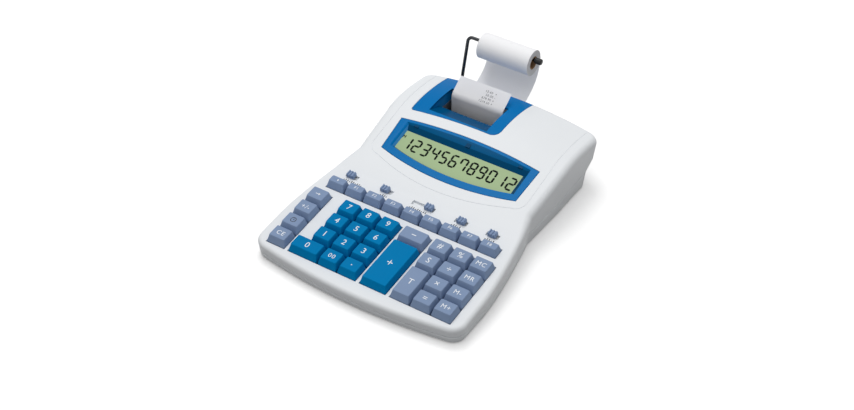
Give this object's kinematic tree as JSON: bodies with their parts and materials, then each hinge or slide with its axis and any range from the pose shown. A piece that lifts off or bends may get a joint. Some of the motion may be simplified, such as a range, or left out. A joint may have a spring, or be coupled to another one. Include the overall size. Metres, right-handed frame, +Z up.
{
  "type": "printing calculator",
  "caption": "Desktop printing calculator: sloped key deck, tilted display under a bowed blue bezel, blue printer cover and a paper roll carried on a wire arm.",
  "frame": {"origin": "on the desk, under the middle of the part's box", "axes": "+X to the user's right, +Y away from the user towards the paper roll, +Z up"},
  "size_m": [0.219, 0.321, 0.094],
  "materials": {
    "case_plastic": "satin moulded white",
    "blue_plastic": "translucent blue",
    "blue_key": "satin blue",
    "slate_key": "satin slate blue",
    "lcd_glass": "grey green display",
    "foot_rubber": "black rubber",
    "board": "green circuit board",
    "dome_rubber": "grey silicone",
    "screw_steel": "zinc plated",
    "frame_steel": "plated sheet",
    "drum_plastic": "dark moulding",
    "roller_rubber": "dark rubber",
    "ink_felt": "inked felt",
    "wire_steel": "bright plated wire",
    "tip_plastic": "black cap",
    "paper": "plain paper"
  },
  "bodies": {
    "case": {"base_case": "case_plastic", "rubber_feet": "foot_rubber", "key_board": "board", "dome_sheet": "dome_rubber", "top_case": "case_plastic", "case_screws": "screw_steel", "display_bezel": "blue_plastic", "lcd_panel": "lcd_glass", "printer_frame": "frame_steel", "roll_arm": "wire_steel", "arm_tip": "tip_plastic", "paper_web": "paper"},
    "cover": {"printer_cover": "blue_plastic"},
    "drum": {"print_drum": "drum_plastic"},
    "feed": {"feed_roller": "roller_rubber"},
    "ink": {"ink_roller": "ink_felt"},
    "roll": {"paper_roll": "paper"},
    "key_clear": {"key_clear": "slate_key"},
    "key_circle": {"key_circle": "slate_key"},
    "key_sign": {"key_sign": "slate_key"},
    "key_back": {"key_back": "slate_key"},
    "key_0": {"key_0": "blue_key"},
    "key_00": {"key_00": "blue_key"},
    "key_point": {"key_point": "blue_key"},
    "key_1": {"key_1": "blue_key"},
    "key_2": {"key_2": "blue_key"},
    "key_3": {"key_3": "blue_key"},
    "key_4": {"key_4": "blue_key"},
    "key_5": {"key_5": "blue_key"},
    "key_6": {"key_6": "blue_key"},
    "key_7": {"key_7": "blue_key"},
    "key_8": {"key_8": "blue_key"},
    "key_9": {"key_9": "blue_key"},
    "key_plus": {"key_plus": "blue_key"},
    "key_minus": {"key_minus": "slate_key"},
    "key_total": {"key_total": "slate_key"},
    "key_subtotal": {"key_subtotal": "slate_key"},
    "key_nonadd": {"key_nonadd": "slate_key"},
    "key_equals": {"key_equals": "slate_key"},
    "key_memory_plus": {"key_memory_plus": "slate_key"},
    "key_times": {"key_times": "slate_key"},
    "key_memory_minus": {"key_memory_minus": "slate_key"},
    "key_divide": {"key_divide": "slate_key"},
    "key_memory_recall": {"key_memory_recall": "slate_key"},
    "key_percent": {"key_percent": "slate_key"},
    "key_memory_clear": {"key_memory_clear": "slate_key"},
    "key_paper_feed": {"key_paper_feed": "slate_key"},
    "key_function_1": {"key_function_1": "slate_key"},
    "key_function_2": {"key_function_2": "slate_key"},
    "key_function_3": {"key_function_3": "slate_key"},
    "key_function_4": {"key_function_4": "slate_key"},
    "key_function_5": {"key_function_5": "slate_key"},
    "key_function_6": {"key_function_6": "slate_key"},
    "key_function_7": {"key_function_7": "slate_key"},
    "key_function_8": {"key_function_8": "slate_key"},
    "switch_rounding": {"switch_rounding": "slate_key"},
    "switch_print": {"switch_print": "slate_key"},
    "switch_decimal": {"switch_decimal": "slate_key"},
    "switch_count": {"switch_count": "slate_key"},
    "switch_rate": {"switch_rate": "slate_key"}
  },
  "joints": [
    {"name": "key_clear_press", "type": "slide", "parent": "case", "child": "key_clear", "axis": [0, -0.1253, 0.9921], "range_m": [-0.003, 0], "stiffness_N_per_m": 200, "deforming": ["dome_sheet"]},
    {"name": "key_circle_press", "type": "slide", "parent": "case", "child": "key_circle", "axis": [0, -0.1253, 0.9921], "range_m": [-0.003, 0], "stiffness_N_per_m": 200, "deforming": ["dome_sheet"]},
    {"name": "key_sign_press", "type": "slide", "parent": "case", "child": "key_sign", "axis": [0, -0.1253, 0.9921], "range_m": [-0.003, 0], "stiffness_N_per_m": 200, "deforming": ["dome_sheet"]},
    {"name": "key_back_press", "type": "slide", "parent": "case", "child": "key_back", "axis": [0, -0.1253, 0.9921], "range_m": [-0.003, 0], "stiffness_N_per_m": 200, "deforming": ["dome_sheet"]},
    {"name": "key_0_press", "type": "slide", "parent": "case", "child": "key_0", "axis": [0, -0.1253, 0.9921], "range_m": [-0.003, 0], "stiffness_N_per_m": 200, "deforming": ["dome_sheet"]},
    {"name": "key_00_press", "type": "slide", "parent": "case", "child": "key_00", "axis": [0, -0.1253, 0.9921], "range_m": [-0.003, 0], "stiffness_N_per_m": 200, "deforming": ["dome_sheet"]},
    {"name": "key_point_press", "type": "slide", "parent": "case", "child": "key_point", "axis": [0, -0.1253, 0.9921], "range_m": [-0.003, 0], "stiffness_N_per_m": 200, "deforming": ["dome_sheet"]},
    {"name": "key_1_press", "type": "slide", "parent": "case", "child": "key_1", "axis": [0, -0.1253, 0.9921], "range_m": [-0.003, 0], "stiffness_N_per_m": 200, "deforming": ["dome_sheet"]},
    {"name": "key_2_press", "type": "slide", "parent": "case", "child": "key_2", "axis": [0, -0.1253, 0.9921], "range_m": [-0.003, 0], "stiffness_N_per_m": 200, "deforming": ["dome_sheet"]},
    {"name": "key_3_press", "type": "slide", "parent": "case", "child": "key_3", "axis": [0, -0.1253, 0.9921], "range_m": [-0.003, 0], "stiffness_N_per_m": 200, "deforming": ["dome_sheet"]},
    {"name": "key_4_press", "type": "slide", "parent": "case", "child": "key_4", "axis": [0, -0.1253, 0.9921], "range_m": [-0.003, 0], "stiffness_N_per_m": 200, "deforming": ["dome_sheet"]},
    {"name": "key_5_press", "type": "slide", "parent": "case", "child": "key_5", "axis": [0, -0.1253, 0.9921], "range_m": [-0.003, 0], "stiffness_N_per_m": 200, "deforming": ["dome_sheet"]},
    {"name": "key_6_press", "type": "slide", "parent": "case", "child": "key_6", "axis": [0, -0.1253, 0.9921], "range_m": [-0.003, 0], "stiffness_N_per_m": 200, "deforming": ["dome_sheet"]},
    {"name": "key_7_press", "type": "slide", "parent": "case", "child": "key_7", "axis": [0, -0.1253, 0.9921], "range_m": [-0.003, 0], "stiffness_N_per_m": 200, "deforming": ["dome_sheet"]},
    {"name": "key_8_press", "type": "slide", "parent": "case", "child": "key_8", "axis": [0, -0.1253, 0.9921], "range_m": [-0.003, 0], "stiffness_N_per_m": 200, "deforming": ["dome_sheet"]},
    {"name": "key_9_press", "type": "slide", "parent": "case", "child": "key_9", "axis": [0, -0.1253, 0.9921], "range_m": [-0.003, 0], "stiffness_N_per_m": 200, "deforming": ["dome_sheet"]},
    {"name": "key_plus_press", "type": "slide", "parent": "case", "child": "key_plus", "axis": [0, -0.1253, 0.9921], "range_m": [-0.003, 0], "stiffness_N_per_m": 200, "deforming": ["dome_sheet"]},
    {"name": "key_minus_press", "type": "slide", "parent": "case", "child": "key_minus", "axis": [0, -0.1253, 0.9921], "range_m": [-0.003, 0], "stiffness_N_per_m": 200, "deforming": ["dome_sheet"]},
    {"name": "key_total_press", "type": "slide", "parent": "case", "child": "key_total", "axis": [0, -0.1253, 0.9921], "range_m": [-0.003, 0], "stiffness_N_per_m": 200, "deforming": ["dome_sheet"]},
    {"name": "key_subtotal_press", "type": "slide", "parent": "case", "child": "key_subtotal", "axis": [0, -0.1253, 0.9921], "range_m": [-0.003, 0], "stiffness_N_per_m": 200, "deforming": ["dome_sheet"]},
    {"name": "key_nonadd_press", "type": "slide", "parent": "case", "child": "key_nonadd", "axis": [0, -0.1253, 0.9921], "range_m": [-0.003, 0], "stiffness_N_per_m": 200, "deforming": ["dome_sheet"]},
    {"name": "key_equals_press", "type": "slide", "parent": "case", "child": "key_equals", "axis": [0, -0.1253, 0.9921], "range_m": [-0.003, 0], "stiffness_N_per_m": 200, "deforming": ["dome_sheet"]},
    {"name": "key_memory_plus_press", "type": "slide", "parent": "case", "child": "key_memory_plus", "axis": [0, -0.1253, 0.9921], "range_m": [-0.003, 0], "stiffness_N_per_m": 200, "deforming": ["dome_sheet"]},
    {"name": "key_times_press", "type": "slide", "parent": "case", "child": "key_times", "axis": [0, -0.1253, 0.9921], "range_m": [-0.003, 0], "stiffness_N_per_m": 200, "deforming": ["dome_sheet"]},
    {"name": "key_memory_minus_press", "type": "slide", "parent": "case", "child": "key_memory_minus", "axis": [0, -0.1253, 0.9921], "range_m": [-0.003, 0], "stiffness_N_per_m": 200, "deforming": ["dome_sheet"]},
    {"name": "key_divide_press", "type": "slide", "parent": "case", "child": "key_divide", "axis": [0, -0.1253, 0.9921], "range_m": [-0.003, 0], "stiffness_N_per_m": 200, "deforming": ["dome_sheet"]},
    {"name": "key_memory_recall_press", "type": "slide", "parent": "case", "child": "key_memory_recall", "axis": [0, -0.1253, 0.9921], "range_m": [-0.003, 0], "stiffness_N_per_m": 200, "deforming": ["dome_sheet"]},
    {"name": "key_percent_press", "type": "slide", "parent": "case", "child": "key_percent", "axis": [0, -0.1253, 0.9921], "range_m": [-0.003, 0], "stiffness_N_per_m": 200, "deforming": ["dome_sheet"]},
    {"name": "key_memory_clear_press", "type": "slide", "parent": "case", "child": "key_memory_clear", "axis": [0, -0.1253, 0.9921], "range_m": [-0.003, 0], "stiffness_N_per_m": 200, "deforming": ["dome_sheet"]},
    {"name": "key_paper_feed_press", "type": "slide", "parent": "case", "child": "key_paper_feed", "axis": [0, -0.1253, 0.9921], "range_m": [-0.003, 0], "stiffness_N_per_m": 200, "deforming": ["dome_sheet"]},
    {"name": "key_function_1_press", "type": "slide", "parent": "case", "child": "key_function_1", "axis": [0, -0.1253, 0.9921], "range_m": [-0.003, 0], "stiffness_N_per_m": 200, "deforming": ["dome_sheet"]},
    {"name": "key_function_2_press", "type": "slide", "parent": "case", "child": "key_function_2", "axis": [0, -0.1253, 0.9921], "range_m": [-0.003, 0], "stiffness_N_per_m": 200, "deforming": ["dome_sheet"]},
    {"name": "key_function_3_press", "type": "slide", "parent": "case", "child": "key_function_3", "axis": [0, -0.1253, 0.9921], "range_m": [-0.003, 0], "stiffness_N_per_m": 200, "deforming": ["dome_sheet"]},
    {"name": "key_function_4_press", "type": "slide", "parent": "case", "child": "key_function_4", "axis": [0, -0.1253, 0.9921], "range_m": [-0.003, 0], "stiffness_N_per_m": 200, "deforming": ["dome_sheet"]},
    {"name": "key_function_5_press", "type": "slide", "parent": "case", "child": "key_function_5", "axis": [0, -0.1253, 0.9921], "range_m": [-0.003, 0], "stiffness_N_per_m": 200, "deforming": ["dome_sheet"]},
    {"name": "key_function_6_press", "type": "slide", "parent": "case", "child": "key_function_6", "axis": [0, -0.1253, 0.9921], "range_m": [-0.003, 0], "stiffness_N_per_m": 200, "deforming": ["dome_sheet"]},
    {"name": "key_function_7_press", "type": "slide", "parent": "case", "child": "key_function_7", "axis": [0, -0.1253, 0.9921], "range_m": [-0.003, 0], "stiffness_N_per_m": 200, "deforming": ["dome_sheet"]},
    {"name": "key_function_8_press", "type": "slide", "parent": "case", "child": "key_function_8", "axis": [0, -0.1253, 0.9921], "range_m": [-0.003, 0], "stiffness_N_per_m": 200, "deforming": ["dome_sheet"]},
    {"name": "switch_rounding_slide", "type": "slide", "parent": "case", "child": "switch_rounding", "axis": [1, 0, 0], "range_m": [-0.0032, 0.0052]},
    {"name": "switch_print_slide", "type": "slide", "parent": "case", "child": "switch_print", "axis": [1, 0, 0], "range_m": [-0.0027, 0.0057]},
    {"name": "switch_decimal_slide", "type": "slide", "parent": "case", "child": "switch_decimal", "axis": [1, 0, 0], "range_m": [-0.0162, 0.0032]},
    {"name": "switch_count_slide", "type": "slide", "parent": "case", "child": "switch_count", "axis": [1, 0, 0], "range_m": [-0.0047, 0.0037]},
    {"name": "switch_rate_slide", "type": "slide", "parent": "case", "child": "switch_rate", "axis": [1, 0, 0], "range_m": [-0.0042, 0.0042]},
    {"name": "cover_lift", "type": "slide", "parent": "case", "child": "cover", "axis": [0, 0, 1], "range_m": [0, 0.03], "deforming": ["paper_web"]},
    {"name": "drum_spin", "type": "hinge", "parent": "case", "child": "drum", "pos_m": [-0.0255, 0.07898, 0.035], "axis": [1, 0, 0], "continuous": true},
    {"name": "feed_spin", "type": "hinge", "parent": "case", "child": "feed", "pos_m": [-0.0255, 0.09595, 0.029], "axis": [1, 0, 0], "continuous": true},
    {"name": "ink_spin", "type": "hinge", "parent": "case", "child": "ink", "pos_m": [-0.0255, 0.06583, 0.037], "axis": [1, 0, 0], "continuous": true},
    {"name": "roll_spin", "type": "hinge", "parent": "case", "child": "roll", "pos_m": [-0.0255, 0.14718, 0.081], "axis": [1, 0, 0], "continuous": true}
  ],
  "couplings": [
    {"joint": "feed_spin", "follows": "drum_spin", "ratio": -1},
    {"joint": "ink_spin", "follows": "drum_spin", "ratio": -1.1667}
  ]
}
